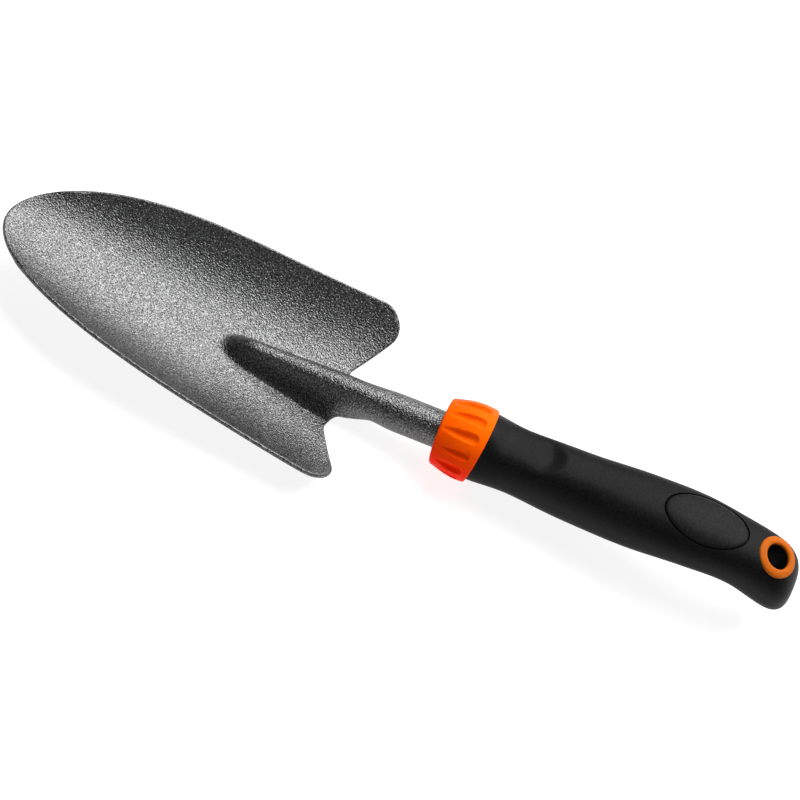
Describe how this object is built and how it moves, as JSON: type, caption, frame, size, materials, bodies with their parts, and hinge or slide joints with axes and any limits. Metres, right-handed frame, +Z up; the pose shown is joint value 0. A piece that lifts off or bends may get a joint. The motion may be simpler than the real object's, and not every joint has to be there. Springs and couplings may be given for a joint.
{
  "type": "hand trowel",
  "caption": "Hand trowel with a pressed steel scoop and rolled neck, a ribbed collar, and a soft-grip handle with a palm pad and a hanging eyelet.",
  "frame": {"origin": "centre of the trowel's footprint, on the bench that it rests on", "axes": "+X from the scoop's tip towards the handle's end, +Z up out of the scoop's hollow"},
  "size_m": [0.3201, 0.0828, 0.0376],
  "materials": {
    "hammertone_steel": "grey hammertone enamel",
    "collar_orange": "glossy",
    "core_orange": "matte",
    "grip_rubber": "matte, finely textured",
    "pad_rubber": "matte, finely textured",
    "eyelet_orange": "satin"
  },
  "bodies": {
    "root": {"blade": "hammertone_steel", "collar": "collar_orange", "handle_core": "core_orange", "grip": "grip_rubber", "palm_pad": "pad_rubber", "eyelet": "eyelet_orange"}
  },
  "joints": []
}
